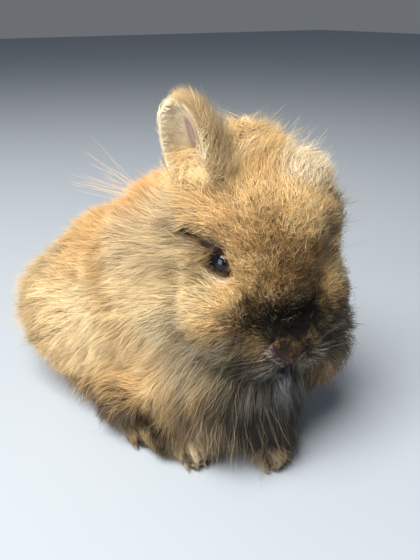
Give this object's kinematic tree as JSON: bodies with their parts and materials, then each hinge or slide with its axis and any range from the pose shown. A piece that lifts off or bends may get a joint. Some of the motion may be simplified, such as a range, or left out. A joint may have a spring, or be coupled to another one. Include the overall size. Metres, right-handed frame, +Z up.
{
  "type": "lionhead rabbit",
  "caption": "Still life-size young lionhead rabbit sitting low on its feet, head up, one short ear upright and one laid back in the mane.",
  "frame": {"origin": "on the floor, under the middle of the rabbit's box", "axes": "+Z up, -Y the way the rabbit faces, +X the rabbit's left"},
  "size_m": [0.1336, 0.1924, 0.1673],
  "materials": {
    "back_fur": "soft long fur, sandy gold",
    "flank_fur": "soft long fur, cream gold",
    "mane_fur": "soft long woolly fur, fawn",
    "face_fur": "short dense fur, fawn with brown flecks",
    "muzzle_fur": "short velvety fur, sooty brown",
    "chin_fur": "short soft fur, greyish white",
    "chest_fur": "soft long fur, grey beige",
    "ear_fur": "short fur, gold outside and cream inside",
    "foot_fur": "short dense fur, orange brown",
    "nose_skin": "moist bare skin, mauve pink",
    "eye": "wet, dark brown",
    "claw": "horn, greyish brown"
  },
  "bodies": {
    "root": {"trunk": "back_fur", "rump": "flank_fur", "haunch_left": "flank_fur", "haunch_right": "flank_fur", "tail": "flank_fur", "neck_mane": "mane_fur", "chest": "chest_fur", "foreleg_left": "chest_fur", "foreleg_right": "chest_fur", "head": "face_fur", "muzzle": "muzzle_fur", "lower_jaw": "chin_fur", "nose": "nose_skin", "ear_left": "ear_fur", "ear_right": "ear_fur", "eye_left": "eye", "eye_right": "eye", "foot_fore_left": "foot_fur", "foot_fore_right": "foot_fur", "foot_hind_left": "foot_fur", "foot_hind_right": "foot_fur", "claw_fore_left_1": "claw", "claw_fore_left_2": "claw", "claw_fore_left_3": "claw", "claw_fore_left_4": "claw", "claw_fore_right_1": "claw", "claw_fore_right_2": "claw", "claw_fore_right_3": "claw", "claw_fore_right_4": "claw", "claw_hind_left_1": "claw", "claw_hind_left_2": "claw", "claw_hind_left_3": "claw", "claw_hind_left_4": "claw", "claw_hind_right_1": "claw", "claw_hind_right_2": "claw", "claw_hind_right_3": "claw", "claw_hind_right_4": "claw"}
  },
  "joints": []
}
